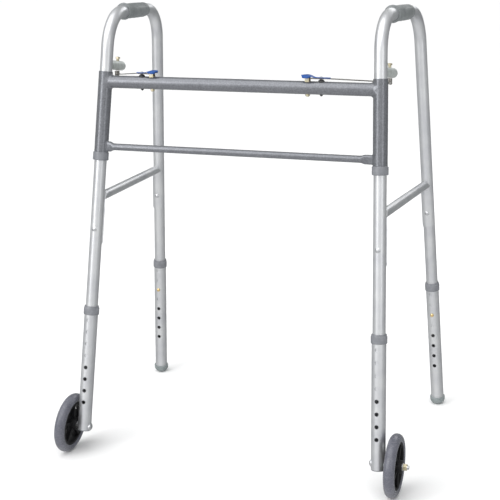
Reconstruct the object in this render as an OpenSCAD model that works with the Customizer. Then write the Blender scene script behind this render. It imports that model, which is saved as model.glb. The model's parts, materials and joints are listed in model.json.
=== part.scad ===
// Folding walking frame, extra wide: a front H-frame, two side frames that swing
// inwards about their front legs, telescoping leg ends, two wheels and two glides.
// X runs to the user's left, the front faces -Y, Z is up, the floor is Z = 0. Millimetres.

/* [Layout] */
// Half the distance between the front leg axes, at the crossbar
half_track = 288; // [250:1:320]
// Height of the crossbar centre above the floor
bar_h = 783; // [760:1:800]
// Distance from front to rear leg axis in a side frame, level with the crossbar
side_depth = 317; // [300:1:340]
// Lean of each leg away from the side frame's own upright
lean = 6.75; // [5:0.25:8]
// Backward tip of the whole side frame
rake = 1.6; // [0:0.1:3]
// Outward spread of the side frames towards the floor
splay = 3.1; // [2:0.1:4]
// Outward turn of the side frames towards the rear
toe = 3.5; // [2:0.1:5]

/* [Tubes] */
// Radius of the side frame tube
tube_r = 12.7; // [12:0.1:13]
// Wall of the side frame tube
tube_wall = 1.6; // [1.2:0.1:2]
// Radius of the leg extensions and of the hinge sleeves
outer_r = 14.3; // [14.1:0.1:14.6]
// Running gap between a tube and the tube around it
tube_gap = 0.3; // [0.2:0.05:0.4]
// Depth below the crossbar at which the side frame tube ends
tube_end = 590; // [584:1:594]
// Height of the hand grip axis above the crossbar
grip_h = 138; // [125:1:150]
// Centre-line radius of the two top bends
bend_r = 75; // [65:1:85]

/* [Front frame] */
// Radius of the crossbar
bar_r = 12.7; // [12:0.1:13.5]
// Radius of the lower bar
low_r = 7; // [6:0.5:8]
// Depth of the lower bar below the crossbar
low_drop = 133; // [126:1:136]
// Height of the sleeve above the crossbar axis
sleeve_top = 20.5; // [19:0.5:21]
// Depth of the sleeve below the crossbar axis
sleeve_bot = 144; // [143:0.5:146]

/* [Brace] */
// Radius of the brace tube
brace_r = 9.5; // [8.5:0.5:10]
// Depth of the brace bar below the crossbar
brace_drop = 238.7; // [230:1:246]
// Centre-line radius of the brace bends
brace_bend = 30; // [28:1:32]
// Distance from each leg axis at which the brace starts to bend
brace_reach = 32; // [30:0.5:34]
// Depth of the brace rivets
rivet_drop = 305; // [300:1:310]
// Depth at which the brace saddles end
saddle_end = 338; // [332:1:344]

/* [Leg extensions] */
// Depth of the lowest of the eight adjusting holes
hole_low = 677; // [674:1:680]
// Spacing of the adjusting holes
pitch = 25.4; // [25:0.1:26]
// Depth of the top of the front collars
collar_front = 469.5; // [465:0.5:470]
// Depth of the top of the rear collars
collar_rear = 474; // [472:1:476]

/* [Wheels] */
// Radius of the wheels
wheel_r = 63.5; // [60:0.5:66]
// Distance of the wheel centre from the leg axis
wheel_out = 32.3; // [32:0.1:33]
// Half width of the tyres
tyre_half = 11.2; // [10:0.1:12]
// Radius at which tyre and hub meet
rim_r = 47.5; // [46:0.5:49]
// Upward tilt of the user's right axle, towards its outer end
right_tilt = 6; // [0:0.5:8]

/* [Latch] */
// Distance of the user's left latch pivot from the middle of the crossbar
pivot_left = 144; // [140:1:150]
// Distance of the user's right latch pivot from the middle of the crossbar
pivot_right = 183; // [178:1:184]
// Distance of the catch pin behind the front leg axis
pin_y = 61.5; // [60:0.5:64]
// Reach of the catch stub behind the front leg axis
stub_len = 85; // [80:1:86]

/* [Hidden] */
$fn = 96;
eps = 0.01;
lap = 1;
lap_hair = 0.05;
tube_in = tube_r - tube_wall;
bore_r = tube_r + tube_gap;
far_r = 400;
// the crossbar stands this far ahead of the middle of the footprint
bar_y = -113.9;
// upper bends of a side frame
bend_t = bend_r * tan((90 - lean) / 2);
bend_z = grip_h - bend_r;
bend_fy = grip_h * tan(lean) + bend_t;
leg_top = grip_h / cos(lean) - bend_t;
// rear leg lengths are measured from the crossbar level of its own axis
floor_rear = (bar_h - side_depth * sin(rake) * cos(splay)) / (cos(splay) * cos(lean - rake));
tip = rake + lean;
up_x = -cos(tip) * sin(splay) * cos(toe) + sin(tip) * sin(toe);
up_y = cos(tip) * sin(splay) * sin(toe) + sin(tip) * cos(toe);
up_z = cos(tip) * cos(splay);
ext_end = (bar_h - wheel_r) / up_z + 10.5;
// fold-out saddles of the brace
saddle_in = tube_r + 0.05;
saddle_out = tube_r + 2.5;
saddle_half = 12.6;
// holes and buttons
hole_r = 4.2;
button_r = 3.9;
hole_set = hole_low - 5 * pitch;
rivet_r = 2.5;
// grip
grip_y0 = 94;
grip_y1 = 216;
grip_r = 16.6;
flange_r = 17.6;
// catch stub above the sleeve
stub_r = 9.8;
stub_z = 34.8;
pin_r = 3;
// latch lever, in its own frame: x along the lever, z up, origin on the pivot
pivot_z = bar_r + 4.3;
strap_w = 9;
strap_t = 1.6;
fork_half = 5.1;
fork_t = 1.5;
fork_r = 4.2;
pivot_pin_r = 1.6;
bumper_h = 4.3;
cup_r = 5;
// lowest point of the catch pin, and the gap left between it and the cup
pin_low = stub_z - stub_r;
cup_gap = 1.4;
cup_h = 7;
cup_deep = 5;
curl_r = 3.2;
// wheel
hub_half = 16;
tread_half = 1;
bush_r = 6;
bolt_r = 4;
// the bolt's domed head sits on a saddle washer, this far inside the leg axis
head_seat = 14.6;
run_gap = 0.05;
sticker_t = 0.3;

// ---- frames of reference: s = 1 is the user's left, s = -1 the user's right

module place_side() {
    translate([half_track, bar_y, bar_h])
        rotate([-rake, -splay, -toe])
            children();
}

module side(s) {
    if (s > 0) place_side() children();
    else mirror([1, 0, 0]) place_side() children();
}

module front_leg(s) {
    side(s) rotate([-lean, 0, 0]) children();
}

module rear_leg(s) {
    side(s) translate([0, side_depth, 0]) rotate([lean, 0, 0]) children();
}

// each axle runs straight across the frame; both wheels stand on the floor
function tilt_of(s) = s > 0 ? 0 : right_tilt;
// level at which the axle crosses the leg axis, and its depth down the leg
function axle_z(s) = wheel_r * cos(tilt_of(s)) + (tread_half - wheel_out) * sin(tilt_of(s));
function axle_drop(s) = (bar_h - axle_z(s)) / up_z;

module place_axle(s) {
    translate([s * (half_track - axle_drop(s) * up_x), bar_y - axle_drop(s) * up_y, axle_z(s)])
        rotate([0, s * (90 - tilt_of(s)), 0])
            children();
}

// the catch pin's tip, seen from above
function tip_x() = half_track + pin_y * (sin(tip) * sin(splay) * cos(toe) + cos(tip) * sin(toe))
    + pin_low * up_x;
function tip_y() = pin_y * (cos(tip) * cos(toe) - sin(tip) * sin(splay) * sin(toe)) + pin_low * up_y;
// its level, and that of the latch cup below it, above the lever's pivot
function cup_rise() = pin_low * up_z - pin_y * sin(tip) * cos(splay) - cup_gap - pivot_z;
function pivot_at(s) = s > 0 ? pivot_left : pivot_right;
function rivet_at(s) = s > 0 ? 27.5 : 22.5;
function tail_of(s) = s > 0 ? 46 : 34;
function strap_run(s) = [tip_x() - pivot_at(s) - rivet_at(s), tip_y()];
function strap_turn(s) = atan2(strap_run(s).y, strap_run(s).x);

// lever frame: x towards the side frame, z up, origin on the pivot
module place_lever(s) {
    if (s > 0) translate([pivot_at(s), bar_y, bar_h + pivot_z]) children();
    else mirror([1, 0, 0]) translate([pivot_at(s), bar_y, bar_h + pivot_z]) children();
}

// ---- small shapes

module rod_x(r, x0, x1) {
    translate([x0, 0, 0]) rotate([0, 90, 0]) cylinder(h = x1 - x0, r = r);
}

module rod_y(r, y0, y1) {
    translate([0, y0, 0]) rotate([-90, 0, 0]) cylinder(h = y1 - y0, r = r);
}

module rod_z(r, z0, z1) {
    translate([0, 0, z0]) cylinder(h = z1 - z0, r = r);
}

module pipe_z(ro, ri, z0, z1) {
    difference() {
        rod_z(ro, z0, z1);
        rod_z(ri, z0 - 1, z1 + 1);
    }
}

// a bend in the Y-Z plane about the origin: from heading -Y at the top, turning downwards
module quarter_bend(r, big, turn) {
    rotate([90, 0, 90])
        rotate([0, 0, 90])
            rotate_extrude(angle = turn) translate([big, 0]) circle(r = r);
}

// low dome on the +Z side of the origin
module dome(r, h) {
    big = (r * r + h * h) / (2 * h);
    intersection() {
        translate([0, 0, h - big]) sphere(r = big);
        translate([0, 0, -eps]) cylinder(h = h + 1, r = r);
    }
}

// ---- front frame

// solid outline of the crossbar, to trim against
module bar_line(r, drop) {
    translate([-half_track, bar_y, bar_h - drop]) rod_x(r, 0, 2 * half_track);
}

module sleeve_line(s, r) {
    front_leg(s) rod_z(r, -sleeve_bot, sleeve_top);
}

module crossbar() {
    color("dimgray") difference() {
        bar_line(bar_r, 0);
        translate([-half_track - 1, bar_y, bar_h]) rod_x(bar_r - 1.6, 0, 2 * half_track + 2);
        for (s = [-1, 1]) {
            sleeve_line(s, outer_r);
            front_leg(s) translate([0, -far_r, -far_r]) cube([far_r, 2 * far_r, 2 * far_r]);
            translate([s * pivot_at(s), bar_y, bar_h]) rod_z(2.6, -20, 20);
            translate([s * (pivot_at(s) + rivet_at(s)), bar_y, bar_h]) rod_z(2.1, -20, 20);
        }
    }
}

module lower_bar() {
    low_x = half_track + low_drop * -up_x;
    low_y = bar_y - low_drop * up_y;
    color("dimgray") difference() {
        union() {
            translate([-low_x, low_y, bar_h - low_drop * up_z]) rod_x(low_r, 0, 2 * low_x);
            for (s = [-1, 1])
                translate([s * low_x, low_y, bar_h - low_drop * up_z])
                    rotate([0, s * -90, 0]) lower_bar_foot();
        }
        for (s = [-1, 1]) {
            sleeve_line(s, outer_r);
            front_leg(s) translate([0, -far_r, -far_r]) cube([far_r, 2 * far_r, 2 * far_r]);
        }
    }
}

// the bar's ends are pressed flat and tall where they meet the sleeves
module lower_bar_foot() {
    foot_h = 10.3;
    foot_l = 34;
    foot_t = 4.5;
    translate([-foot_h, -foot_t, 0]) cube([2 * foot_h, 2 * foot_t, foot_l - 8]);
    translate([0, 0, foot_l - 8]) intersection() {
        translate([0, -foot_t, 0]) rotate([-90, 0, 0]) cylinder(h = 2 * foot_t, r = foot_h);
        translate([-foot_h, -foot_t, -eps]) cube([2 * foot_h, 2 * foot_t, foot_h]);
    }
}

module sleeve(s) {
    color("dimgray") front_leg(s) pipe_z(outer_r, bore_r, -sleeve_bot, sleeve_top);
}

module crossbar_label() {
    label_w = 58;
    color("white") translate([-4, bar_y, bar_h]) difference() {
        rod_x(bar_r + sticker_t, -label_w / 2, label_w / 2);
        rod_x(bar_r, -label_w / 2 - 1, label_w / 2 + 1);
        translate([-far_r, -far_r, -far_r]) cube([2 * far_r, far_r + 3, 2 * far_r]);
        translate([-far_r, -far_r, -far_r]) cube([2 * far_r, 2 * far_r, far_r + 3]);
    }
}

// ---- latch: fork bolt, bumper, lever

module fork_bolt(s) {
    nut_level = -pivot_z - bar_r;
    place_lever(s) difference() {
        union() {
            for (y = [-fork_half - fork_t, fork_half]) {
                rod_y(fork_r, y, y + fork_t);
                translate([-fork_r, y, -fork_r]) cube([2 * fork_r, fork_t, fork_r]);
            }
            translate([-fork_r, -fork_half - fork_t, -fork_r - 1])
                cube([2 * fork_r, 2 * (fork_half + fork_t), 1.3]);
            rod_z(2.5, nut_level - 4.6, -fork_r - 1);
        }
        rod_y(pivot_pin_r + run_gap, -20, 20);
        translate([-50, 0, -pivot_z]) rod_x(bar_r + 0.02, 0, 100);
    }
    place_lever(s) rod_z(2.5, nut_level - 4.6, -fork_r);
}

module fork_bolts() {
    color("goldenrod") for (s = [-1, 1]) fork_bolt(s);
}

module fork_bolt_nuts() {
    color("goldenrod") for (s = [-1, 1])
        translate([s * pivot_at(s), bar_y, bar_h - bar_r]) difference() {
            translate([0, 0, -3.4]) cylinder(h = 4.4, r = 4.6, $fn = 6);
            rod_z(2.5, -10, 10);
            translate([-20, 0, bar_r]) rod_x(bar_r + 0.02, 0, 40);
        }
}

module bumper(s) {
    color("darkslategray") translate([s * (pivot_at(s) + rivet_at(s)), bar_y, bar_h]) {
        difference() {
            union() {
                translate([0, 0, bar_r + 0.6]) dome(6.5, bumper_h - 0.6);
                rod_z(6.5, bar_r - 3, bar_r + 0.6);
            }
            rod_x(bar_r, -20, 20);
        }
        rod_z(2, -bar_r - 1, bar_r + 1);
        difference() {
            translate([0, 0, -bar_r - 0.3]) sphere(r = 3);
            rod_x(bar_r + 0.02, -20, 20);
        }
    }
}

// flat steel strap: straight under the paddle's tail, then turned towards the catch pin,
// where it carries a raised eye for the pin and ends in a curl
module latch_strap(s) {
    run = norm(strap_run(s));
    low = cup_rise() - cup_h + strap_t;
    under = 0.3;
    top = [[-6, under + strap_t], [9, under + strap_t], [run - 9, low], [run + 1.5, low]];
    outline = concat(top, [for (i = [3 : -1 : 0]) [top[i].x, top[i].y - strap_t]]);
    color("tan") place_lever(s) difference() {
        union() {
            translate([-3, -strap_w / 2, under]) cube([rivet_at(s) + 7, strap_w, strap_t]);
            rod_y(3.4, -strap_w / 2 - 0.2, strap_w / 2 + 0.2);
            translate([rivet_at(s), 0, 0]) rotate([0, 0, strap_turn(s)]) {
                translate([0, strap_w / 2, 0]) rotate([90, 0, 0])
                    linear_extrude(height = strap_w) polygon(outline);
                translate([run, 0, 0]) {
                    rod_z(cup_r, low - strap_t, cup_rise());
                    translate([1.2, 0, low - curl_r - 0.4]) rod_y(curl_r, -3.5, 3.5);
                }
            }
        }
        rod_y(pivot_pin_r + 0.02, -20, 20);
        translate([rivet_at(s), 0, 0]) {
            rod_z(1.6, -20, 20);
            rotate([0, 0, strap_turn(s)]) translate([run, 0, 0]) {
                rod_z(pin_r + 0.4, cup_rise() - cup_deep, cup_rise() + 1);
                translate([1.2, 0, low - curl_r - 0.4]) rod_y(1.7, -20, 20);
            }
        }
    }
}

module paddle(s) {
    pad = [[-11.8, 4.8], [-12.8, 5.9], [-12.3, 7.4], [-9, 8.6], [-3, 9.1], [4, 8.9], [11, 7.7],
        [16.6, 5.6], [18.4, 4.4], [18.4, 3.4], [9, 4.6]];
    tail_z = 0.3 + strap_t;
    color("royalblue") place_lever(s) difference() {
        union() {
            intersection() {
                translate([0, 12, 0]) rotate([90, 0, 0]) linear_extrude(height = 24) polygon(pad);
                pad_plan();
            }
            translate([0, 5, 0]) rotate([90, 0, 0]) linear_extrude(height = 10)
                polygon([[11, tail_z], [11, 5.5], [16, 4.4], [18, tail_z + 2], [tail_of(s) - 4, tail_z + 2],
                    [tail_of(s), tail_z + 1.2], [tail_of(s), tail_z]]);
        }
        translate([rivet_at(s), 0, 0]) rod_z(1.6, -20, 20);
    }
}

// plan outline of the paddle: a rounded thumb shape
module pad_plan() {
    translate([-2.4, 0, 0]) rod_z(10.6, 0, 20);
    translate([-2.4, -10.6, 0]) cube([14, 21.2, 20]);
    translate([11.6, -8.2, 0]) cube([8, 16.4, 20]);
}

module lever_pins(s) {
    color("silver") place_lever(s) {
        rod_y(pivot_pin_r, -fork_half - fork_t - 0.6, fork_half + fork_t + 0.6);
        translate([rivet_at(s), 0, 0]) {
            rod_z(1.5, 0.35, 2.4 + strap_t);
            translate([0, 0, 2.33 + strap_t]) dome(3.6, 1.4);
        }
    }
}

// ---- side frames

// one bend and the leg below it; straight tube runs a little way into each bend,
// which is wider than it by a hair
module bend_and_leg(r, more, hair) {
    translate([0, bend_fy, bend_z]) {
        quarter_bend(r + hair, bend_r, 90 - lean);
        rotate([-lean, 0, 0]) translate([0, -bend_r, 0]) rod_z(r, -leg_top - tube_end - more, lap);
    }
}

module u_path(r, more, hair) {
    bend_and_leg(r, more, hair);
    translate([0, side_depth, 0]) mirror([0, 1, 0]) bend_and_leg(r, more, hair);
    translate([0, bend_fy, grip_h]) rod_y(r, -lap, side_depth - 2 * bend_fy + lap);
}

module side_tube(s) {
    color("gainsboro") side(s) difference() {
        u_path(tube_r, 0, lap_hair);
        u_path(tube_in, 1, -lap_hair);
        rotate([-lean, 0, 0]) {
            translate([0, 0, -hole_set]) rod_y(button_r + 0.1, 0, 20);
            translate([0, 0, -rivet_drop]) rod_y(rivet_r, -20, 20);
        }
        translate([0, side_depth, 0]) rotate([lean, 0, 0]) {
            translate([0, 0, -hole_set]) rod_y(button_r + 0.1, -20, 0);
            translate([0, 0, -rivet_drop]) rod_y(rivet_r, -20, 20);
        }
    }
}

module grip(s) {
    rib_step = 5.5;
    grip_len = grip_y1 - grip_y0;
    color("slategray") side(s) translate([0, grip_y0, grip_h]) rotate([-90, 0, 0]) difference() {
        rotate_extrude() polygon(concat(
            [[tube_r, 0], [flange_r - 0.6, 0], [flange_r, 0.6], [flange_r, 2.6], [flange_r - 0.8, 3.4]],
            [for (i = [0 : 6]) each [[grip_r - 0.1, 5 + i * rib_step], [grip_r + 0.5, 6.2 + i * rib_step],
                [grip_r + 0.5, 8.2 + i * rib_step], [grip_r - 0.1, 9.4 + i * rib_step]]],
            [[grip_r + 0.2, 58], [grip_r + 0.5, 80], [grip_r, grip_len - 12],
                [grip_r - 0.6, grip_len - 5], [grip_r - 2.2, grip_len - 1.2], [tube_r + 1, grip_len],
                [tube_r, grip_len]]));
        translate([0, 0, -1]) cylinder(h = grip_len + 2, r = tube_r);
    }
}

// the brace: an inverted U of smaller tube, its ends pressed into saddles
module brace_path(r, hair) {
    fy = brace_reach - brace_drop * tan(lean);
    for (m = [0, 1])
        translate([0, m * side_depth, 0]) mirror([0, m, 0])
            translate([0, fy, -brace_drop - brace_bend]) quarter_bend(r + hair, brace_bend, 90 - lean);
    translate([0, fy, -brace_drop]) rod_y(r, -lap, side_depth - 2 * fy + lap);
}

module leg_lines(r) {
    rotate([-lean, 0, 0]) rod_z(r, -far_r, 0);
    translate([0, side_depth, 0]) rotate([lean, 0, 0]) rod_z(r, -far_r, 0);
}

module saddle() {
    intersection() {
        pipe_z(saddle_out, saddle_in, -saddle_end, -saddle_end + 84);
        translate([-saddle_half, 0, -saddle_end]) cube([2 * saddle_half, saddle_out, 84]);
    }
}

module brace(s) {
    color("gainsboro") side(s) difference() {
        union() {
            difference() {
                brace_path(brace_r, lap_hair);
                brace_path(brace_r - 1.3, -lap_hair);
                leg_lines(saddle_in);
            }
            rotate([-lean, 0, 0]) saddle();
            translate([0, side_depth, 0]) mirror([0, 1, 0]) rotate([-lean, 0, 0]) saddle();
        }
        rotate([-lean, 0, 0]) translate([0, 0, -rivet_drop]) rod_y(rivet_r, 0, 30);
        translate([0, side_depth, 0]) rotate([lean, 0, 0])
            translate([0, 0, -rivet_drop]) rod_y(rivet_r, -30, 0);
    }
}

// button head standing on a tube of radius r, towards -Y
module rivet_head(r, head_r) {
    difference() {
        translate([0, 1 - r, 0]) rotate([90, 0, 0]) union() {
            cylinder(h = 1.4, r = head_r);
            translate([0, 0, 1.4]) dome(head_r, 2.2);
        }
        rod_z(r + 0.02, -20, 20);
    }
}

module brace_rivet() {
    rod_y(rivet_r, -tube_r - 0.6, saddle_out + 0.6);
    rivet_head(tube_r, 5.2);
    mirror([0, 1, 0]) rivet_head(saddle_out, 4.8);
}

module brace_rivets(s) {
    color("silver") side(s) {
        rotate([-lean, 0, 0]) translate([0, 0, -rivet_drop]) brace_rivet();
        translate([0, side_depth, 0]) mirror([0, 1, 0]) rotate([-lean, 0, 0])
            translate([0, 0, -rivet_drop]) brace_rivet();
    }
}

// plastic collar: a ring with a sloping shoulder and rounded lower edge
module collar_ring(r_in, z0, z1, shoulder) {
    r = 16.2;
    rotate_extrude() polygon([[r_in, z0], [r - 1.6, z0], [r - 0.5, z0 + 0.8], [r, z0 + 2.4],
        [r, z1 - shoulder - 1.4], [r - 0.5, z1 - shoulder], [r_in + 1.2, z1], [r_in, z1]]);
}

module upper_collar(s) {
    color("slategray") front_leg(s) collar_ring(tube_r, -sleeve_bot - 17.5, -sleeve_bot - 0.2, 1);
}

module catch_stub(s) {
    color("silver") front_leg(s) translate([0, 0, stub_z]) difference() {
        union() {
            rod_y(stub_r, 0, stub_len - 0.8);
            rod_y(stub_r - 0.8, 0, stub_len);
        }
        rod_y(stub_r - 1.8, -1, stub_len - 3);
        rod_z(saddle_in, -20, 20);
        translate([-20, -40, -20]) cube([40, 40, 40]);
        translate([0, pin_y, 0]) rod_z(pin_r, -20, 20);
    }
}

module catch_pin(s) {
    color("goldenrod") front_leg(s) translate([0, pin_y, stub_z]) {
        rod_z(pin_r, -stub_r, stub_r + 7.2);
        translate([0, 0, stub_r + 4.6]) cylinder(h = 3.4, r = 5.1, $fn = 6);
        translate([0, 0, stub_r + 7.2]) dome(pin_r, 1.6);
    }
}

// flat spring bent in a V, one arm carrying the snap button
module button_spring() {
    arm = 62;
    gap = 0.7;
    translate([-3, 0, 0]) rotate([90, 0, 90]) linear_extrude(height = 6)
        polygon([[tube_in - 1.75, -9], [tube_in - 1.75, 9], [2, arm], [-2, arm], [-tube_in + 0.5, -14],
            [-tube_in + 0.5 + gap, -14], [-2 + gap, arm - gap], [2 - gap, arm - gap],
            [tube_in - 1.75 - gap, 9], [tube_in - 1.75 - gap, -9]]);
}

module button_springs(s) {
    color("silver") side(s) {
        rotate([-lean, 0, 0]) translate([0, 0, -hole_set]) button_spring();
        translate([0, side_depth, 0]) rotate([lean, 0, 0]) translate([0, 0, -hole_set])
            mirror([0, 1, 0]) button_spring();
    }
}

// snap button, pointing along +Y
module button() {
    rod_y(button_r + 0.55, tube_in - 1.7, tube_in - 1);
    rod_y(button_r, tube_in - 1.4, outer_r + 1.4);
    translate([0, outer_r + 1.4, 0]) rotate([-90, 0, 0]) dome(button_r, 1.5);
}

module front_button(s) {
    color("gold") front_leg(s) translate([0, 0, -hole_set]) button();
}

module rear_button(s) {
    color("gold") rear_leg(s) translate([0, 0, -hole_set]) mirror([0, 1, 0]) button();
}

module brace_label() {
    label_r = brace_r + sticker_t;
    color("white") side(-1) translate([0, 0, -brace_drop]) difference() {
        rod_y(label_r, 158, 222);
        rod_y(brace_r, 150, 230);
        translate([-far_r, 0, -far_r]) cube([far_r + 1, far_r, 2 * far_r]);
        translate([-far_r, 0, -far_r]) cube([2 * far_r, far_r, far_r - 5]);
        translate([-far_r, 0, 6.5]) cube([2 * far_r, far_r, far_r]);
    }
}

// ---- leg extensions; depths are measured down the leg from the crossbar level

module hole_rows(y0, y1) {
    for (i = [0 : 7]) translate([0, 0, -hole_low + i * pitch]) rod_y(hole_r, y0, y1);
}

module extension(top, bottom, both) {
    difference() {
        pipe_z(outer_r, bore_r, -bottom, -top - 4);
        hole_rows(-20, both ? 20 : 0);
        children();
    }
}

// collar over the top of an extension
module leg_collar(top) {
    difference() {
        collar_ring(bore_r, -top - 18.5, -top, 4);
        rod_z(outer_r, -top - 20, -top - 4);
    }
}

module front_extension(s) {
    color("gainsboro") difference() {
        front_leg(s) extension(collar_front, ext_end, true);
        place_axle(s) rod_z(bolt_r + 0.1, -40, 40);
    }
}

module front_collar(s) {
    color("slategray") front_leg(s) leg_collar(collar_front);
}

module front_plug(s) {
    color("slategray") front_leg(s) {
        pipe_z(outer_r - 0.2, 6, -ext_end - 1.8, -ext_end);
        pipe_z(bore_r - 0.05, 10.5, -ext_end - eps, -ext_end + 2);
    }
}

module axle_bolt(s) {
    color("silver") place_axle(s) {
        rod_z(bolt_r, -16, wheel_out + 28.5);
        translate([0, 0, -head_seat - 0.02]) mirror([0, 0, 1]) dome(7.2, 3.4);
        translate([0, 0, wheel_out + 28.5]) cylinder(h = 0.6, r1 = bolt_r, r2 = bolt_r - 0.6);
    }
}

module axle_nut(s) {
    color("goldenrod") place_axle(s) difference() {
        union() {
            translate([0, 0, wheel_out + hub_half + 1.8]) cylinder(h = 6, r = 7.3, $fn = 6);
            rod_z(6.1, wheel_out + hub_half + 7.8, wheel_out + hub_half + 9.4);
        }
        rod_z(bolt_r, 0, 90);
    }
}

module axle_spacers(s) {
    color("silver") difference() {
        place_axle(s) {
            pipe_z(8, bolt_r + 0.02, 10, wheel_out - hub_half - 0.1);
            pipe_z(8, bolt_r + 0.02, -head_seat, -10);
            pipe_z(8, bolt_r + 0.02, wheel_out + hub_half + 0.1, wheel_out + hub_half + 1.75);
        }
        front_leg(s) rod_z(outer_r + 0.02, -ext_end - 10, -ext_end + 50);
    }
}

// ---- wheels; Z of this frame is the axle, pointing away from the leg

module wheel_frame(s) {
    place_axle(s) translate([0, 0, wheel_out]) children();
}

module tyre(s) {
    w = tyre_half;
    color("slategray") wheel_frame(s) rotate_extrude() polygon([[rim_r, -w + 2.2], [rim_r + 1.6, -w + 0.8],
        [rim_r + 6, -w], [wheel_r - 7.4, -w + 0.3], [wheel_r - 3.6, -w + 2.6], [wheel_r - 1.2, -w + 5.8],
        [wheel_r - 0.2, -w + 9], [wheel_r, -tread_half], [wheel_r, tread_half], [wheel_r - 0.2, w - 9],
        [wheel_r - 1.2, w - 5.8], [wheel_r - 3.6, w - 2.6], [wheel_r - 7.4, w - 0.3], [rim_r + 6, w],
        [rim_r + 1.6, w - 0.8], [rim_r, w - 2.2]]);
}

module hub(s) {
    spokes = 5;
    color("black") wheel_frame(s) difference() {
        union() {
            pipe_z(rim_r, rim_r - 5, -9, 9);
            rod_z(13, -hub_half, hub_half);
            rod_z(22, -4, 4);
            for (i = [0 : spokes - 1]) rotate([0, 0, i * 360 / spokes]) {
                translate([8, -3.2, -8]) cube([rim_r - 11, 6.4, 16]);
                translate([8, -12, -2.2]) cube([rim_r - 11, 24, 4.4]);
            }
        }
        rod_z(bush_r, -30, 30);
    }
}

module hub_bush(s) {
    color("silver") wheel_frame(s) pipe_z(bush_r - 0.01, bolt_r + run_gap, -hub_half, hub_half);
}

// ---- rear legs

module rear_extension(s) {
    color("gainsboro") rear_leg(s) extension(collar_rear, floor_rear - 5, false);
}

module rear_collar(s) {
    color("slategray") rear_leg(s) leg_collar(collar_rear);
}

module glide(s) {
    cap_r = 17;
    rise = 18;
    color("slategray") difference() {
        rear_leg(s) translate([0, 0, -floor_rear]) difference() {
            rotate_extrude() polygon([[0, -2], [6, -1.8], [9.5, -0.6], [12.5, 1.6], [14.8, 4.6],
                [16.3, 8.4], [cap_r, 12.5], [cap_r, rise - 1.2], [cap_r - 0.8, rise], [0, rise]]);
            rod_z(outer_r, 5, 30);
        }
        translate([-far_r, 0, -40]) cube([2 * far_r, far_r, 40]);
    }
}

crossbar();
lower_bar();
sleeve(1);  // left_sleeve
sleeve(-1);  // right_sleeve
crossbar_label();
fork_bolts();
fork_bolt_nuts();
bumper(1);  // left_bumper
bumper(-1);  // right_bumper
paddle(1);  // left_paddle
latch_strap(1);  // left_latch_strap
lever_pins(1);  // left_lever_pins
paddle(-1);  // right_paddle
latch_strap(-1);  // right_latch_strap
lever_pins(-1);  // right_lever_pins
side_tube(1);  // left_side_tube
grip(1);  // left_grip
brace(1);  // left_brace
brace_rivets(1);  // left_brace_rivets
upper_collar(1);  // left_upper_collar
catch_stub(1);  // left_catch_stub
catch_pin(1);  // left_catch_pin
button_springs(1);  // left_button_springs
side_tube(-1);  // right_side_tube
grip(-1);  // right_grip
brace(-1);  // right_brace
brace_rivets(-1);  // right_brace_rivets
upper_collar(-1);  // right_upper_collar
catch_stub(-1);  // right_catch_stub
catch_pin(-1);  // right_catch_pin
button_springs(-1);  // right_button_springs
brace_label();  // right_brace_label
front_button(1);  // left_front_button
rear_button(1);  // left_rear_button
front_button(-1);  // right_front_button
rear_button(-1);  // right_rear_button
front_extension(1);  // left_front_extension
front_collar(1);  // left_front_collar
front_plug(1);  // left_front_plug
axle_bolt(1);  // left_axle_bolt
axle_nut(1);  // left_axle_nut
axle_spacers(1);  // left_axle_spacers
front_extension(-1);  // right_front_extension
front_collar(-1);  // right_front_collar
front_plug(-1);  // right_front_plug
axle_bolt(-1);  // right_axle_bolt
axle_nut(-1);  // right_axle_nut
axle_spacers(-1);  // right_axle_spacers
tyre(1);  // left_tyre
hub(1);  // left_hub
hub_bush(1);  // left_hub_bush
tyre(-1);  // right_tyre
hub(-1);  // right_hub
hub_bush(-1);  // right_hub_bush
rear_extension(1);  // left_rear_extension
rear_collar(1);  // left_rear_collar
glide(1);  // left_glide
rear_extension(-1);  // right_rear_extension
rear_collar(-1);  // right_rear_collar
glide(-1);  // right_glide
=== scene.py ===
"""A folding walking frame with two wheels and two glides: the looks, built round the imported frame.

Metres, +X to the user's left, the front faces -Y, Z up, the floor is Z = 0."""
import json
import math

import bmesh
import bpy
from mathutils import Matrix, Vector


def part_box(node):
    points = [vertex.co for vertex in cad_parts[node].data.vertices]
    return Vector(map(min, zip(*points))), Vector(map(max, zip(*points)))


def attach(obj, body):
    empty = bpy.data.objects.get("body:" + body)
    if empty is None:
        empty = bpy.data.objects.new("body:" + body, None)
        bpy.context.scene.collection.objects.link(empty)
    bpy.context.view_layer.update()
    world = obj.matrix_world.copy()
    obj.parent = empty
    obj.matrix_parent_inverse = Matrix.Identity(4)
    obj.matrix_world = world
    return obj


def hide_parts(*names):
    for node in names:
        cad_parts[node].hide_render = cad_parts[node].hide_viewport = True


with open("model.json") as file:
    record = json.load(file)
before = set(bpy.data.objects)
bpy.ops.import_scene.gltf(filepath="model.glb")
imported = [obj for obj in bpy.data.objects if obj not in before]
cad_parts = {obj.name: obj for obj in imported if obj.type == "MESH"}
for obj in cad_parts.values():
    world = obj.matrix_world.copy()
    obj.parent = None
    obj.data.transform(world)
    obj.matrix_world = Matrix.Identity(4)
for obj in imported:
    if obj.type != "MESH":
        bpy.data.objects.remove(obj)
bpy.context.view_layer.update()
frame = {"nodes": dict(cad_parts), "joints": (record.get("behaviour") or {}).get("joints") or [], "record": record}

MM = 0.001
LEG_R = 12.75 * MM  # a little over the radius of a side frame's tube
EXTENSION_R = 14.35 * MM  # a little over the radius of a leg extension
SIDES = {"left": 1, "right": -1}
BODY_OF = {n: b for b, ns in frame["record"]["behaviour"]["bodies"].items() for n in ns}
SLOT_OF = {row["node"]: row["material_slot"] for row in frame["record"]["subparts"]}


# ---------------------------------------------------------------- where things are

def joint(name):
    return next(j for j in frame["joints"] if j["name"] == name)


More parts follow.
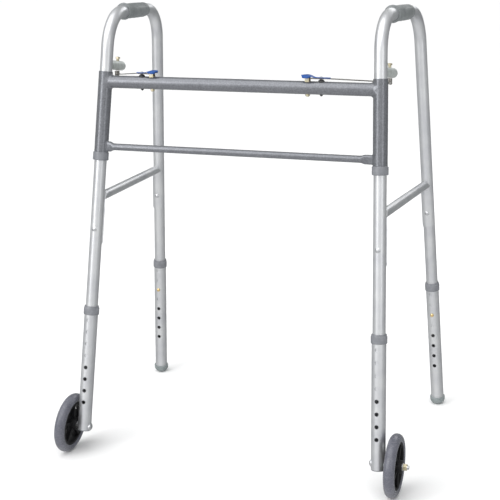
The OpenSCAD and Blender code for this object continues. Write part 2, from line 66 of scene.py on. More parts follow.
def extent(node, matrix):
    """Lowest and highest corner of a CAD node, measured in the axes of matrix."""
    inverse = matrix.inverted()
    points = [inverse @ v.co for v in frame["nodes"][node].data.vertices]
    low = Vector([min(p[i] for p in points) for i in range(3)])
    high = Vector([max(p[i] for p in points) for i in range(3)])
    return low, high


def axes(x, y, z, origin):
    """A matrix with these columns."""
    return Matrix([[x[i], y[i], z[i], origin[i]] for i in range(3)] + [[0, 0, 0, 1]])


class SideFrame:
    """One side frame's axes, read off its joints: X outwards, Y to the rear leg, Z up between the legs."""

    def __init__(self, side):
        front = Vector(joint(side + "_front_height")["axis"])
        rear = Vector(joint(side + "_rear_height")["axis"])
        up = (front + rear).normalized()
        back = (front - rear).normalized()
        self.lean = front.angle(rear) / 2
        self.matrix = axes(back.cross(up) * SIDES[side], back, up, joint(side + "_fold")["pos_m"])
        low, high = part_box(side + "_rear_extension")
        middle = self.matrix.inverted() @ ((low + high) / 2)
        self.depth = middle.y + middle.z * math.tan(self.lean)
        self.front = self.matrix @ Matrix.Rotation(-self.lean, 4, "X")
        self.rear = (self.matrix @ Matrix.Translation((0, self.depth, 0))
                     @ Matrix.Rotation(self.lean, 4, "X"))
        # the rear leg seen as a front leg: its Y points at the other leg
        self.rear_in = self.rear @ Matrix.Diagonal((1, -1, 1, 1))


side_frames = {side: SideFrame(side) for side in SIDES}


# ---------------------------------------------------------------- mesh tools

def sharp_smooth(mesh, degrees=35):
    mesh.shade_smooth()
    mesh.set_sharp_from_angle(angle=math.radians(degrees))


def piece(name, bm, node, stands_for=True, degrees=35):
    """Turns bm into an object that rides with a CAD node, wears its material, and may stand for it."""
    bmesh.ops.recalc_face_normals(bm, faces=bm.faces)
    mesh = bpy.data.meshes.new(name)
    bm.to_mesh(mesh)
    bm.free()
    sharp_smooth(mesh, degrees)
    obj = bpy.data.objects.new(name, mesh)
    bpy.context.scene.collection.objects.link(obj)
    mesh.materials.append(MATERIALS[SLOT_OF[node]])
    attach(obj, BODY_OF[node])
    if stands_for:
        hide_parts(node)
    return obj


def skin(bm, rings, caps=True, loop=False):
    """Quads between closed rings that hold the same number of points."""
    rows = [[bm.verts.new(p) for p in ring] for ring in rings]
    count = len(rows[0])
    pairs = list(zip(rows, rows[1:])) + ([(rows[-1], rows[0])] if loop else [])
    for a, b in pairs:
        for i in range(count):
            j = (i + 1) % count
            bm.faces.new((a[i], a[j], b[j], b[i]))
    if caps and not loop:
        bm.faces.new(rows[0])
        bm.faces.new(rows[-1])


def lathe(bm, profile, matrix, segments=96):
    """Turns a closed outline of (radius, height) points about the Z axis of matrix."""
    rings = []
    for k in range(segments):
        c, s = math.cos(math.tau * k / segments), math.sin(math.tau * k / segments)
        rings.append([matrix @ Vector((r * c, r * s, z)) for r, z in profile])
    skin(bm, rings, loop=True)


def arc(cx, cy, r, start, end, steps=6):
    """Points on an arc, angles in degrees."""
    turn = [math.radians(start + (end - start) * i / steps) for i in range(steps + 1)]
    return [(cx + r * math.cos(t), cy + r * math.sin(t)) for t in turn]


def smooth_step(t):
    t = min(1, max(0, t))
    return t * t * (3 - 2 * t)


def between(a, b, t):
    return a + (b - a) * t


# ---------------------------------------------------------------- materials

def mixed(tree, factor, a, b):
    """A colour between a and b; each is a colour or a socket."""
    node = tree.nodes.new("ShaderNodeMix")
    node.data_type = "RGBA"
    tree.links.new(factor, node.inputs["Factor"])
    for key, value in (("A", a), ("B", b)):
        socket = next(s for s in node.inputs if s.name == key and s.type == "RGBA")
        if isinstance(value, tuple):
            socket.default_value = (*value, 1)
        else:
            tree.links.new(value, socket)
    return next(s for s in node.outputs if s.type == "RGBA")


def ranged(tree, value, low, high, to_low=0.0, to_high=1.0):
    """A value carried from low..high to to_low..to_high."""
    node = tree.nodes.new("ShaderNodeMapRange")
    for key, number in (("From Min", low), ("From Max", high), ("To Min", to_low), ("To Max", to_high)):
        node.inputs[key].default_value = number
    tree.links.new(value, node.inputs["Value"])
    return node.outputs["Result"]


class Shader:
    """A material's node tree, with a Principled shader and object coordinates to hand."""

    def __init__(self, name, colour, roughness, metallic=0.0):
        self.material = bpy.data.materials.new(name)
        self.material.use_nodes = True
        self.material.diffuse_color = (*colour, 1)
        self.tree = self.material.node_tree
        self.bsdf = self.tree.nodes["Principled BSDF"]
        self.bsdf.inputs["Base Color"].default_value = (*colour, 1)
        self.bsdf.inputs["Roughness"].default_value = roughness
        self.bsdf.inputs["Metallic"].default_value = metallic
        self.place = self.tree.nodes.new("ShaderNodeTexCoord").outputs["Object"]

    def link(self, a, b):
        self.tree.links.new(a, b)

    def stretched(self, scale):
        """Object coordinates, scaled along X, Y and Z."""
        mapping = self.tree.nodes.new("ShaderNodeMapping")
        mapping.inputs["Scale"].default_value = scale
        self.link(self.place, mapping.inputs["Vector"])
        return mapping.outputs["Vector"]

    def noise(self, scale, detail=4.0, vector=None, rough=0.55):
        node = self.tree.nodes.new("ShaderNodeTexNoise")
        node.inputs["Scale"].default_value = scale
        node.inputs["Detail"].default_value = detail
        node.inputs["Roughness"].default_value = rough
        self.link(vector or self.place, node.inputs["Vector"])
        return node.outputs["Fac"]

    def cells(self, scale, feature="SMOOTH_F1"):
        node = self.tree.nodes.new("ShaderNodeTexVoronoi")
        node.feature = feature
        node.inputs["Scale"].default_value = scale
        self.link(self.place, node.inputs["Vector"])
        return node.outputs["Distance"]

    def remap(self, value, low, high, to_low=0.0, to_high=1.0):
        return ranged(self.tree, value, low, high, to_low, to_high)

    def math(self, kind, a, b):
        node = self.tree.nodes.new("ShaderNodeMath")
        node.operation = kind
        for socket, value in zip(node.inputs, (a, b)):
            if isinstance(value, (int, float)):
                socket.default_value = value
            else:
                self.link(value, socket)
        return node.outputs[0]

    def blend(self, factor, a, b):
        return mixed(self.tree, factor, a, b)

    def colour(self, socket):
        self.link(socket, self.bsdf.inputs["Base Color"])

    def roughness(self, value, low, high):
        """Roughness that follows a pattern, from low to high."""
        self.link(self.remap(value, 0.3, 0.7, low, high), self.bsdf.inputs["Roughness"])

    def bump(self, height, depth, strength=1.0):
        """Relief of this depth in metres, laid over any relief added before."""
        node = self.tree.nodes.new("ShaderNodeBump")
        node.inputs["Strength"].default_value = strength
        node.inputs["Distance"].default_value = depth
        self.link(height, node.inputs["Height"])
        normal = self.bsdf.inputs["Normal"]
        if normal.links:
            self.link(normal.links[0].from_socket, node.inputs["Normal"])
        self.link(node.outputs["Normal"], normal)


def anodised_tube():
    """Satin clear-anodised aluminium: drawn lines down the tube, faint clouding, fine etch."""
    m = Shader("anodised_tube", (0.60, 0.61, 0.63), 0.36, 0.85)
    drawn = m.noise(1.0, 3, m.stretched((900, 900, 14)))
    clouds = m.noise(26, 5)
    etch = m.noise(1500, 2)
    m.colour(m.blend(m.remap(clouds, 0.35, 0.65), (0.60, 0.61, 0.635), (0.68, 0.69, 0.70)))
    m.roughness(m.math("ADD", m.math("MULTIPLY", clouds, 0.6), m.math("MULTIPLY", drawn, 0.4)), 0.34, 0.46)
    m.bump(etch, 0.00002, 0.6)
    m.bump(drawn, 0.00003, 0.5)
    return m.material


def grey_hammertone():
    """Mid grey powder coat with the small dimples of a hammered finish."""
    m = Shader("grey_hammertone", (0.15, 0.155, 0.17), 0.34, 0.55)
    dimples = m.cells(420)
    drift = m.noise(60, 4)
    m.colour(m.blend(m.remap(m.math("ADD", dimples, m.math("MULTIPLY", drift, 0.5)), 0.35, 0.95),
                     (0.130, 0.135, 0.150), (0.195, 0.202, 0.220)))
    m.roughness(drift, 0.28, 0.38)
    m.bump(dimples, 0.00025, 0.6)
    m.bump(m.noise(160, 3), 0.0003, 0.35)
    m.bsdf.inputs["Coat Weight"].default_value = 0.25
    m.bsdf.inputs["Coat Roughness"].default_value = 0.25
    return m.material


def moulded_plastic(name, light, dark, roughness, grain=900):
    """Moulded plastic or rubber: fine spark grain, soft colour drift and faint scuffs."""
    m = Shader(name, light, roughness)
    drift = m.noise(70, 5)
    scuffs = m.noise(1.0, 6, m.stretched((240, 240, 900)), 0.7)
    m.colour(m.blend(m.remap(m.math("ADD", m.math("MULTIPLY", drift, 0.7),
                                    m.math("MULTIPLY", scuffs, 0.3)), 0.38, 0.62), dark, light))
    m.roughness(scuffs, roughness - 0.07, roughness + 0.09)
    m.bump(m.noise(grain, 2), 0.00006, 0.5)
    m.bump(drift, 0.0002, 0.2)
    return m


def blue_plastic():
    m = moulded_plastic("blue_plastic", (0.018, 0.085, 0.32), (0.012, 0.062, 0.25), 0.36, 1400)
    m.bsdf.inputs["IOR"].default_value = 1.40
    return m.material


def dull_black():
    """Black hub plastic, which hardly shines."""
    m = moulded_plastic("hub_plastic", (0.010, 0.010, 0.011), (0.006, 0.006, 0.007), 0.50, 1200)
    m.bsdf.inputs["Specular IOR Level"].default_value = 0.22
    return m.material


def tyre_rubber():
    """Solid grey tyre, slightly dusty where it rolls."""
    m = moulded_plastic("tyre_rubber", (0.118, 0.121, 0.146), (0.090, 0.092, 0.114), 0.24, 700)
    m.bsdf.inputs["Sheen Weight"].default_value = 0.08
    return m.material


def plated(name, light, dark, roughness, scratch=1100):
    """Plated or bright steel: small shifts of tint, fine scratches."""
    m = Shader(name, light, roughness, 0.95)
    tint = m.noise(180, 4)
    lines = m.noise(1.0, 4, m.stretched((scratch, scratch, 60)), 0.6)
    m.colour(m.blend(m.remap(tint, 0.38, 0.62), dark, light))
    m.roughness(lines, roughness - 0.06, roughness + 0.12)
    m.bump(lines, 0.00002, 0.5)
    m.bump(m.noise(600, 3), 0.00003, 0.4)
    return m


def cast_alloy():
    """Dull cast alloy with a slightly pebbled skin."""
    m = Shader("cast_alloy", (0.40, 0.42, 0.41), 0.48, 0.6)
    pebbles = m.noise(420, 3)
    m.colour(m.blend(m.remap(m.noise(90, 4), 0.35, 0.65), (0.50, 0.53, 0.515), (0.62, 0.65, 0.635)))
    m.roughness(pebbles, 0.42, 0.58)
    m.bump(pebbles, 0.00015, 0.5)
    return m.material


def label_white():
    """Glossy vinyl: white, with one plain red band along the upper half of the crossbar's label."""
    m = Shader("label_white", (0.86, 0.86, 0.87), 0.30)
    low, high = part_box("crossbar_label")
    margin, band_low, band_high = 0.006, 0.0065, 0.0100
    parts = m.tree.nodes.new("ShaderNodeSeparateXYZ")
    m.link(m.place, parts.inputs["Vector"])
    x, z = parts.outputs["X"], parts.outputs["Z"]
    bar_z = (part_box("crossbar")[0].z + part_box("crossbar")[1].z) / 2
    inside = m.math("MULTIPLY", m.math("GREATER_THAN", x, low.x + margin),
                    m.math("LESS_THAN", x, high.x - margin))
    band = m.math("MULTIPLY", m.math("GREATER_THAN", z, bar_z + band_low),
                  m.math("LESS_THAN", z, bar_z + band_high))
    red = m.math("MULTIPLY", inside, band)
    drift = m.noise(90, 3)
    paper = m.blend(m.remap(drift, 0.3, 0.7), (0.80, 0.80, 0.82), (0.90, 0.90, 0.90))
    m.colour(m.blend(red, paper, (0.75, 0.16, 0.15)))
    m.roughness(drift, 0.22, 0.36)
    m.bump(m.noise(500, 2), 0.00004, 0.4)
    return m.material


MATERIALS = {
    "anodised_tube": anodised_tube(),
    "grey_hammertone": grey_hammertone(),
    "label_white": label_white(),
    "grip_vinyl": moulded_plastic("grip_vinyl", (0.195, 0.210, 0.214),
                                  (0.145, 0.158, 0.162), 0.42, 800).material,
    "collar_plastic": moulded_plastic("collar_plastic", (0.200, 0.207, 0.224),
                                      (0.150, 0.156, 0.172), 0.42).material,
    "blue_plastic": blue_plastic(),
    "yellow_zinc": plated("yellow_zinc", (0.66, 0.62, 0.42), (0.58, 0.50, 0.38), 0.30).material,
    "strap_steel": plated("strap_steel", (0.34, 0.33, 0.31), (0.22, 0.21, 0.20), 0.42).material,
    "cast_alloy": cast_alloy(),
    "dark_rubber": moulded_plastic("dark_rubber", (0.035, 0.036, 0.038),
                                   (0.022, 0.022, 0.024), 0.6).material,
    "tyre_rubber": tyre_rubber(),
    "hub_plastic": dull_black(),
    "glide_rubber": moulded_plastic("glide_rubber", (0.235, 0.265, 0.268),
                                    (0.175, 0.200, 0.202), 0.50).material,
    "spring_steel": plated("spring_steel", (0.45, 0.45, 0.46), (0.35, 0.36, 0.38), 0.30).material,
    "button_brass": plated("button_brass", (0.80, 0.63, 0.32), (0.72, 0.52, 0.25), 0.28).material,
    "bush_plastic": moulded_plastic("bush_plastic", (0.62, 0.60, 0.54), (0.52, 0.50, 0.45), 0.45).material,
    "plain_steel": plated("plain_steel", (0.60, 0.61, 0.62), (0.50, 0.51, 0.53), 0.28).material,
}


# ---------------------------------------------------------------- front frame

def bar_axis():
    """Middle of the crossbar, and its radius."""
    low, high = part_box("crossbar")
    return (low + high) / 2, (high.z - low.z) / 2


def meet_sleeve(side, y, z, radius):
    """Where a line along X at this y and z meets the inner side of a sleeve of this radius."""
    leg = side_frames[side].front
    origin, axis = leg.translation, leg.col[2].to_3d()
    offset = Vector((0, y, z)) - origin
    along = offset.dot(axis)
    a = 1 - axis.x ** 2
    b = offset.x - along * axis.x
    c = offset.length_squared - along ** 2 - radius ** 2
    root = math.sqrt(max(0, b * b - a * c))
    return (-b - SIDES[side] * root) / a


def sleeve_radius():
    low, high = extent("left_sleeve", side_frames["left"].front)
    return (high.x - low.x) / 2


def outline(half_h, half_d, power, count):
    """A rounded outline as (y, z) points: a circle at power 2, squarer above."""
    points = []
    for k in range(count):
        c, s = math.cos(math.tau * k / count), math.sin(math.tau * k / count)
        y = half_d * math.copysign(abs(c) ** (2 / power), c)
        z = half_h * math.copysign(abs(s) ** (2 / power), s)
        points.append((y, z))
    return points


LOW_END = {"left": 24 * MM, "right": 15 * MM}  # length of the lower bar that is pressed tall
LOW_HALF = {"left": 9.2 * MM, "right": 10.3 * MM}  # half its height there


def low_bar_section(side, t, count=64):
    """Section of the lower bar, from t = 0 on the round part to t = 1, pressed tall against a sleeve."""
    low_r, foot_h, foot_d = 7.0 * MM, LOW_HALF[side], 5.6 * MM
    s = smooth_step(t)
    return outline(between(low_r, foot_h, s), between(low_r, foot_d, s), between(2, 3.4, s), count)


def low_bar_line():
    """Height and depth of the lower bar's axis."""
    low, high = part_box("lower_bar")
    return (low.y + high.y) / 2, (low.z + high.z) / 2


def lower_bar():
    """A round bar whose ends are pressed tall and coped onto the sleeves."""
    steps, rise = 16, 9 * MM
    y0, z0 = low_bar_line()
    radius = sleeve_radius()
    reach = meet_sleeve("left", y0, z0, radius)
    rings = []
    for side in ("right", "left"):
        s, flare = SIDES[side], LOW_END[side]
        half = []
        for i in range(steps + 1):
            t = i / steps
            x = reach - flare * (1 - t)
            ring = []
            for dy, dz in low_bar_section(side, t * flare / rise):
                y, z = y0 + dy, z0 + dz
                end = abs(meet_sleeve("left", y, z, radius))
                ring.append(Vector((s * between(x, x - reach + end, t ** 3), y, z)))
            half.append(ring)
        rings += half[::-1] if s < 0 else half
    bm = bmesh.new()
    skin(bm, rings)
    piece("lower_bar_skin", bm, "lower_bar")


def weld_fillet(name, side, centre_y, centre_z, section, leg_bar, leg_sleeve):
    """The weld round the end of a bar: a soft fillet from the bar's skin to the sleeve's, rippled as laid."""
    radius = sleeve_radius()
    leg = side_frames[side].front
    steps, sunk = 6, 0.4 * MM
    rings = []
    for k, (y, z) in enumerate(section):
        corner = Vector((meet_sleeve(side, centre_y + y, centre_z + z, radius), centre_y + y, centre_z + z))
        local = leg.inverted() @ corner
        from_leg = (leg.to_3x3() @ Vector((local.x, local.y, 0))).normalized()
        from_bar = Vector((0, y, z)).normalized()
        ripple = 1 + 0.05 * math.sin(k * math.tau / 4)
        away = (from_bar - from_leg * from_bar.dot(from_leg)).normalized()
        on_bar = corner - Vector((SIDES[side] * leg_bar * ripple, 0, 0))
        foot = leg.inverted() @ (corner + away * leg_sleeve * ripple)
        flat = math.hypot(foot.x, foot.y)
        on_sleeve = leg @ Vector((foot.x * radius / flat, foot.y * radius / flat, foot.z))
        hollow = corner + (from_leg + from_bar) * 0.5 * MM
        ring = [on_bar - from_bar * sunk]
        for i in range(steps + 1):
            t = i / steps
            ring.append(on_bar * (1 - t) ** 2 + hollow * 2 * t * (1 - t) + on_sleeve * t ** 2)
        ring.append(on_sleeve - from_leg * sunk)
        ring.append(corner - (from_leg + from_bar) * sunk)
        rings.append(ring)
    bm = bmesh.new()
    skin(bm, rings, loop=True)
    piece(name, bm, "crossbar", stands_for=False, degrees=60)


def welds():
    middle, bar_r = bar_axis()
    low_y, low_z = low_bar_line()
    for side in SIDES:
        weld_fillet(side + "_upper_weld", side, middle.y, middle.z,
                    outline(bar_r, bar_r, 2, 160), 4.5 * MM, 5.0 * MM)
        weld_fillet(side + "_lower_weld", side, low_y, low_z,
                    low_bar_section(side, 1, 96), 2.5 * MM, 2.5 * MM)


# ---------------------------------------------------------------- side frames

def hand_grip(side):
    """Vinyl grip: a flange at the front, ribs all round but for smooth palm ovals, finger waves below."""
    matrix = side_frames[side].matrix
    low, high = extent(side + "_grip", matrix)
    centre_z = (low.z + high.z) / 2
    length = high.y - low.y
    flange_r = (high.z - low.z) / 2
    tube_r = LEG_R
    body_r = flange_r - 2.1 * MM
    lip_long, lip_edge, rear_long = 3.6 * MM, 0.9 * MM, 8 * MM
    rib, rib_deep = 5.2 * MM, 1.0 * MM
    rows, around = 190, 120
    rings = []
    for j in range(rows + 1):
        y = length * j / rows
        ring = []
        for i in range(around):
            a = math.tau * i / around  # 0 points outwards, a quarter turn is up
            swell = 0.5 * MM * math.sin(math.pi * min(1, y / length))
            waves = 0.9 * MM * (0.5 - 0.5 * math.cos(math.tau * (y - 8 * MM) / (24 * MM)))
            under = max(0, -math.sin(a)) ** 2
            oval = ((y - 0.62 * length) / (0.30 * length)) ** 2 + ((math.cos(a) ** 2 - 1) / 0.42) ** 2
            ribbed = smooth_step((oval - 0.8) / 0.35) * smooth_step((y - 4 * MM) / (2 * MM))
            ribbed *= smooth_step((length - 12 * MM - y) / (4 * MM))
            groove = (0.5 + 0.5 * math.cos(math.tau * y / rib)) ** 3
            r = body_r + swell - under * waves - ribbed * groove * rib_deep
            r = between(r, flange_r, smooth_step((lip_long - y) / lip_edge))
            front = max(0, 1 - y / lip_edge)
            r -= lip_edge * (1 - math.sqrt(max(0, 1 - front ** 2)))
            rear = max(0, (y - (length - rear_long)) / rear_long)
            r = tube_r + (r - tube_r) * math.sqrt(max(0, 1 - rear ** 2.2))
            ring.append(matrix @ Vector((r * math.cos(a), low.y + y, centre_z + r * math.sin(a))))
        rings.append(ring)
    bm = bmesh.new()
    skin(bm, rings)
    piece(side + "_grip_skin", bm, side + "_grip", degrees=60)


def pressed_ring(leg, depth, count, wrap, inner, outer):
    """Crescent section that hugs a leg at this depth: the outside of the wrap, then back along the inside."""
    half = count // 2
    points = []
    for k in range(count):
        outside = k < half
        t = (k + 0.5) / half if outside else (count - k - 0.5) / half
        a = math.radians(wrap) * (2 * t - 1)
        r = outer if outside else inner
        points.append(leg @ Vector((r * math.sin(a), r * math.cos(a), -depth)))
    return points


def brace(side):
    """The side brace: round tube whose ends bend down and are pressed into saddles round the legs."""
    f = side_frames[side]
    tube_r, bend_r, reach = 9.5 * MM, 30 * MM, 32 * MM
    inner, outer = LEG_R, 15.15 * MM
    wrap, tip_wrap, tip_long = 61, 47, 6 * MM  # half of the leg's turn that a saddle hugs, in degrees
    lead = 10 * MM  # the tube starts to flatten a little before its bend
    bend_steps, fall_steps, count = 26, 16, 64
    drop = tube_r - extent(side + "_brace", f.matrix)[1].z
    end = -extent(side + "_brace", f.front)[0].z
    start_y = reach - drop * math.tan(f.lean)
    sweep = math.pi / 2 - f.lean
    rings = []
    for leg, facing in ((f.front, 1), (f.rear_in, -1)):
        half = []
        for i in range(bend_steps + 1):
            angle = sweep * i / bend_steps
            y = start_y - bend_r * math.sin(angle)
            z = -drop - bend_r * (1 - math.cos(angle))
            pressed = smooth_step((angle * bend_r + lead) / (sweep * bend_r + lead) * 1.15 - 0.15)
            normal = Vector((0, math.sin(angle) * facing, math.cos(angle)))
            centre = Vector((0, y if facing > 0 else f.depth - y, z))
            depth = -(leg.inverted() @ (f.matrix @ centre)).z
            crescent = pressed_ring(leg, depth, count, wrap, inner, outer)
            ring = []
            for k in range(count):
                a = math.tau * (k + 0.5) / count - math.pi / 2
                round_point = f.matrix @ (centre + Vector((1, 0, 0)) * tube_r * math.sin(a)
                                          + normal * tube_r * math.cos(a))
                ring.append(push_off(leg, round_point.lerp(crescent[k], pressed), inner))
            half.append(ring)
        bend_end = depth
        for i in range(1, fall_steps + 1):
            depth = between(bend_end, end, i / fall_steps)
            tip = max(0, 1 - (end - depth) / tip_long)
            half.append(pressed_ring(leg, depth, count, between(wrap, tip_wrap, tip ** 3), inner, outer))
        rings += half[::-1] if facing > 0 else half
    bm = bmesh.new()
    skin(bm, rings)
    piece(side + "_brace_skin", bm, side + "_brace", degrees=50)


def push_off(leg, point, radius):
    """Moves a point out of the leg to this radius, if it lies inside."""
    local = leg.inverted() @ point
    flat = math.hypot(local.x, local.y)
    if flat >= radius or flat == 0:
        return point
    return leg @ Vector((local.x * radius / flat, local.y * radius / flat, local.z))


def collar(node, leg, shoulder, top_r, foot_r):
    """Plastic collar with rounded edges and a sloping shoulder, bored to top_r above and foot_r below."""
    low, high = extent(node, leg)
    r = (high.x - low.x) / 2
    z0, z1 = low.z, high.z
    foot, edge, lip = 1.44 * MM, 0.9 * MM, 0.8 * MM
    profile = [(foot_r, z0)] + arc(r - foot, z0 + foot, foot, -90, 0)
    profile += arc(r - edge, z1 - shoulder - edge, edge, 0, 60)
    profile += arc(top_r + 1.4 * MM, z1 - lip, lip, 60, 100, 4) + [(top_r, z1)]
    bm = bmesh.new()
    lathe(bm, profile, leg, 96)
    piece(node + "_shell", bm, node)


def tyre(side):
    """Solid tyre: rounded crown, a fine parting line, and a step where the side wall meets the hub."""
    spin = joint(side + "_wheel_spin")
    axle = Vector(spin["axis"])
    across = Vector((0, 1, 0)).cross(axle)
    wheel_axes = axes(Vector((0, 1, 0)), -across, axle, spin["pos_m"])
    low, high = extent(side + "_tyre", wheel_axes)
    half_w, wheel_r = (high.z - low.z) / 2, (high.x - low.x) / 2
    rim_r, shoulder = 47.5 * MM, 10.6 * MM
    matrix = wheel_axes @ Matrix.Translation((0, 0, (low.z + high.z) / 2))
    steps = 40
    crown = []
    for i in range(steps + 1):
        a = math.radians(-90 + 180 * i / steps)
        crown.append((wheel_r - shoulder + shoulder * math.cos(a), half_w * math.sin(a)))
    line, line_deep = 0.35 * MM, 0.05 * MM
    middle = steps // 2
    crown[middle - 1:middle + 2] = [(wheel_r - line_deep, -line), (wheel_r, -line * 0.6),
                                    (wheel_r, line * 0.6), (wheel_r - line_deep, line)]
    wall = [(rim_r + 4.6 * MM, half_w - 0.1 * MM), (rim_r + 3.8 * MM, half_w - 0.9 * MM),
            (rim_r + 1.0 * MM, half_w - 1.2 * MM), (rim_r, half_w - 2.0 * MM)]
    profile = [(r, -z) for r, z in wall[::-1]] + crown + wall
    bm = bmesh.new()
    lathe(bm, profile, matrix, 160)
    piece(side + "_tyre_skin", bm, side + "_tyre", degrees=40)


def glide(side):
    """Rubber cap of a rear leg: a bowl with a fine groove under its lip, worn flat on the floor."""
    leg = side_frames[side].rear
    node = side + "_glide"
    low, high = extent(node, leg)
    r = (high.x - low.x) / 2
    top = high.z
    sole = low.z - 0.6 * MM  # the bowl before its wear
    floor_z = sole + 8 * MM  # where the extension's end stands inside the cap
    dome, pole, steps = 14.5 * MM, 0.3 * MM, 20
    profile = [(max(pole, r * math.sin(a)), sole + dome * (1 - math.cos(a)))
               for a in [math.pi / 2 * i / steps for i in range(steps + 1)]]
    groove = top - 3.2 * MM
    profile += [(r, groove), (r - 0.4 * MM, groove + 0.3 * MM), (r - 0.4 * MM, groove + 0.7 * MM),
                (r, groove + 1.0 * MM)]
    profile += arc(r - 0.8 * MM, top - 0.8 * MM, 0.8 * MM, 10, 90, 4) + [(EXTENSION_R, top)]
    profile += [(EXTENSION_R, floor_z), (pole, floor_z)]
    bm = bmesh.new()
    lathe(bm, profile, leg, 96)
    for v in bm.verts:
        v.co.z = max(v.co.z, 0)
    piece(node + "_cap", bm, node)


# ---------------------------------------------------------------- latch levers

def paddle(side):
    """Blue thumb paddle: a domed pad that narrows into a tail with a round boss for its rivet."""
    node = side + "_paddle"
    low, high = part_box(node)
    hinge = Vector(joint(side + "_press")["pos_m"])
    s = SIDES[side]
    x0 = min(s * (low.x - hinge.x), s * (high.x - hinge.x))
    x1 = max(s * (low.x - hinge.x), s * (high.x - hinge.x))
    pins_low, pins_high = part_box(side + "_lever_pins")
    rivet_x = max(s * (pins_low.x - hinge.x), s * (pins_high.x - hinge.x)) - 3.6 * MM
    tail_z, tail_top = 1.9 * MM, 3.8 * MM
    nose_low, nose_top, crown = 5.3 * MM, 7.8 * MM, 9.0 * MM
    pad_half, neck_half, boss_half = 11.0 * MM, 3.6 * MM, 5.0 * MM
    pad_end = x0 + 32 * MM
    steps, around = 90, 72
    rings = []
    for i in range(steps + 1):
        x = between(x0, x1, 0.5 - 0.5 * math.cos(math.pi * i / steps))
        t = (x - x0) / (pad_end - x0)
        nose = math.sqrt(max(0, 1 - max(0, 1 - (x - x0) / (10.5 * MM)) ** 2))
        width = between(pad_half, neck_half, smooth_step((t - 0.45) / 0.55)) * nose
        near = (x - rivet_x) / boss_half
        width = max(width, boss_half * math.sqrt(max(0, 1 - near ** 2)))
        if x > rivet_x:
            end = math.sqrt(max(0, 1 - ((x - rivet_x) / (x1 - rivet_x)) ** 4))
            width = max(width, neck_half) * end
        upper = between(nose_top, crown, smooth_step(t / 0.3))
        upper = between(upper, tail_top, smooth_step((t - 0.35) / 0.6))
        lower = between(nose_low, 4.7 * MM, smooth_step(t / 0.2))
        lower = between(lower, tail_z, smooth_step((t - 0.6) / 0.35))
        middle, half = (upper + lower) / 2, (upper - lower) / 2
        # the thumb's hollow in the top of the pad
        on_pad = smooth_step(t / 0.12) * (1 - smooth_step((t - 0.45) / 0.25))
        dish = 1.1 * MM * on_pad
        ring = []
        for y, z in outline(half, max(width, 0.25 * MM), 2.6, around):
            sag = dish * max(0, 1 - (y / (0.8 * max(width, MM))) ** 2) if z > 0 else 0
            # the rim turns down outside the fork
            rim = smooth_step((abs(y) - 6.9 * MM) / (1.6 * MM)) * on_pad
            sag += rim * (3.4 if z < 0 else 1.0) * MM
            ring.append(hinge + Vector((s * x, y, middle + z - sag)))
        rings.append(ring)
    bm = bmesh.new()
    skin(bm, rings)
    piece(node + "_skin", bm, node, degrees=50)


# ---------------------------------------------------------------- nodes that stay as they are

def soften_edges(node, width, degrees=32):
    """Small rounded edges on a CAD node: doubled points are welded, then sharp edges bevelled."""
    obj = frame["nodes"][node]
    weld = obj.modifiers.new("weld", "WELD")
    weld.merge_threshold = 0.002 * MM
    bevel = obj.modifiers.new("edges", "BEVEL")
    bevel.width = width
    bevel.segments = 3
    bevel.limit_method = "ANGLE"
    bevel.angle_limit = math.radians(degrees)
    bevel.harden_normals = True


EDGE_WIDTH = {"fork_bolts": 0.25, "fork_bolt_nuts": 0.3}
for each in SIDES:
    EDGE_WIDTH.update({each + "_axle_nut": 0.4, each + "_axle_bolt": 0.4, each + "_catch_pin": 0.35,
                       each + "_latch_strap": 0.3, each + "_hub": 0.7, each + "_front_plug": 0.3})


def dress_cad_nodes():
    for name, obj in frame["nodes"].items():
        obj.data.materials.clear()
        obj.data.materials.append(MATERIALS[SLOT_OF[name]])
        if name in EDGE_WIDTH:
            soften_edges(name, EDGE_WIDTH[name] * MM)


# ---------------------------------------------------------------- stage

def surround():
    """A bright room with greyer flanks and a dim back wall; seen by the camera it is plain white."""
    world = bpy.data.worlds.new("studio")
    bpy.context.scene.world = world
    world.use_nodes = True
    tree = world.node_tree
    background = tree.nodes["Background"]
    where = tree.nodes.new("ShaderNodeTexCoord")
    parts = tree.nodes.new("ShaderNodeSeparateXYZ")
    tree.links.new(where.outputs["Generated"], parts.inputs["Vector"])
    flank = tree.nodes.new("ShaderNodeMath")
    flank.operation = "ABSOLUTE"
    tree.links.new(parts.outputs["X"], flank.inputs[0])
    ramp = tree.nodes.new("ShaderNodeValToRGB")
    front, side = ramp.color_ramp.elements
    front.position, front.color = 0.40, (1, 1, 1, 1)
    side.position, side.color = 0.85, (0.55, 0.56, 0.56, 1)
    tree.links.new(flank.outputs[0], ramp.inputs["Fac"])
    to_back = ranged(tree, parts.outputs["Y"], 0.2, 0.8)
    room = mixed(tree, to_back, ramp.outputs["Color"], (0.27, 0.28, 0.28))
    seen = tree.nodes.new("ShaderNodeLightPath")
    shown = mixed(tree, seen.outputs["Is Camera Ray"], room, (1.2, 1.2, 1.2))
    tree.links.new(shown, background.inputs["Color"])
    background.inputs["Strength"].default_value = 0.85


def floor():
    """A wide pale floor just under the feet, which shiny parts don't mirror."""
    half, gap = 60, 0.2 * MM
    bm = bmesh.new()
    bmesh.ops.create_grid(bm, x_segments=8, y_segments=8, size=half)
    mesh = bpy.data.meshes.new("studio_floor")
    bm.to_mesh(mesh)
    bm.free()
    obj = bpy.data.objects.new("studio_floor", mesh)
    obj.location.z = -gap
    obj.visible_glossy = False
    bpy.context.scene.collection.objects.link(obj)
    pale = Shader("floor_paint", (0.90, 0.90, 0.90), 0.85)
    pale.colour(pale.blend(pale.noise(1.2, 3), (0.89, 0.89, 0.89), (0.91, 0.91, 0.91)))
    mesh.materials.append(pale.material)


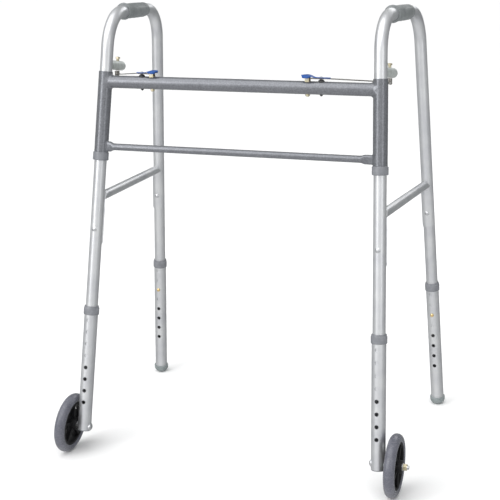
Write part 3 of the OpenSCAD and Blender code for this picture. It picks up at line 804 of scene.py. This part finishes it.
def lamp(name, place, aim, width, height, power):
    light = bpy.data.lights.new(name, "AREA")
    light.shape = "RECTANGLE"
    light.size = width
    light.size_y = height
    light.energy = power
    obj = bpy.data.objects.new(name, light)
    bpy.context.scene.collection.objects.link(obj)
    obj.location = place
    obj.rotation_mode = "QUATERNION"
    obj.rotation_quaternion = (Vector(aim) - Vector(place)).to_track_quat("-Z", "Y")


def overhead(strength, spread, direction):
    """One very wide, soft overhead light that reaches the whole floor evenly."""
    light = bpy.data.lights.new("overhead", "SUN")
    light.energy = strength
    light.angle = math.radians(spread)
    obj = bpy.data.objects.new("overhead", light)
    bpy.context.scene.collection.objects.link(obj)
    obj.rotation_mode = "QUATERNION"
    obj.rotation_quaternion = Vector(direction).to_track_quat("-Z", "Y")


def camera():
    """The photograph's viewing angle: in front, to the user's left, looking a little down."""
    yaw, pitch, roll = (math.radians(a) for a in (-19.047, 15.267, -0.698))
    forward = Vector((math.sin(yaw) * math.cos(pitch), math.cos(yaw) * math.cos(pitch), -math.sin(pitch)))
    right = Vector((math.cos(yaw), -math.sin(yaw), 0))
    up = right.cross(forward)
    across = right * math.cos(roll) + up * math.sin(roll)
    above = up * math.cos(roll) - right * math.sin(roll)
    data = bpy.data.cameras.new("camera")
    data.sensor_width = 36
    data.lens = 82.73
    data.clip_end = 200
    obj = bpy.data.objects.new("camera", data)
    bpy.context.scene.collection.objects.link(obj)
    obj.matrix_world = axes(across, above, -forward, (0.7621, -2.2581, 1.0670))
    bpy.context.scene.camera = obj


camera()
surround()
floor()
target = (0, 0, 0.45)
lamp("key", (-1.9, -2.8, 1.5), target, 0.6, 2.2, 26)
lamp("fill", (2.5, -1.9, 1.2), target, 0.35, 2.0, 10)
lamp("back", (0.6, 2.8, 2.2), target, 1.8, 1.0, 14)
overhead(2.05, 80, (0.35, 0.55, -1.0))
bpy.context.scene.view_settings.view_transform = "Standard"

dress_cad_nodes()
lower_bar()
welds()
for each, its in side_frames.items():
    hand_grip(each)
    brace(each)
    collar(each + "_upper_collar", its.front, 1.0 * MM, LEG_R, LEG_R)
    collar(each + "_front_collar", its.front, 4.0 * MM, 13.0 * MM, EXTENSION_R)
    collar(each + "_rear_collar", its.rear, 4.0 * MM, 13.0 * MM, EXTENSION_R)
    tyre(each)
    glide(each)
    paddle(each)
